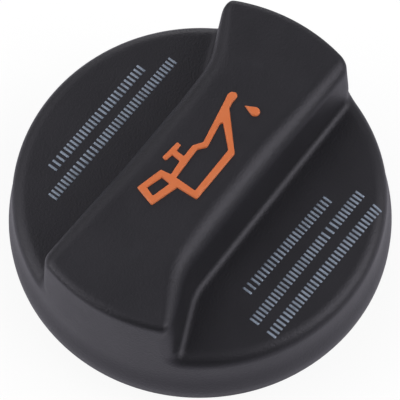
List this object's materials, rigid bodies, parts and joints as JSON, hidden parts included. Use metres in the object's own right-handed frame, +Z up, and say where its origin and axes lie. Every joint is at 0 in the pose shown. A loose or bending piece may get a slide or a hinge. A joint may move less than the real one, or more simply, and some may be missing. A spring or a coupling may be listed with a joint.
{
  "type": "engine oil filler cap",
  "caption": "Round engine oil filler cap with a full-width finger grip, a raised oil can sign, a rubber seal and a quarter-turn locking spigot.",
  "frame": {"origin": "centre of the locking insert's lower end, on the surface that the cap stands on", "axes": "+Z up the cap's axis towards the grip, +X along the grip towards the end that the oil can's spout points to"},
  "size_m": [0.07, 0.07, 0.0347],
  "materials": {
    "cover_plastic": "fine satin moulded black plastic",
    "insert_plastic": "plain moulded black plastic, a little lighter than the cover",
    "seal_rubber": "matt black rubber",
    "sign_orange": "satin orange"
  },
  "bodies": {
    "root": {"cover": "cover_plastic", "locking_insert": "insert_plastic", "seal_ring": "seal_rubber", "oil_can_sign": "sign_orange"}
  },
  "joints": []
}
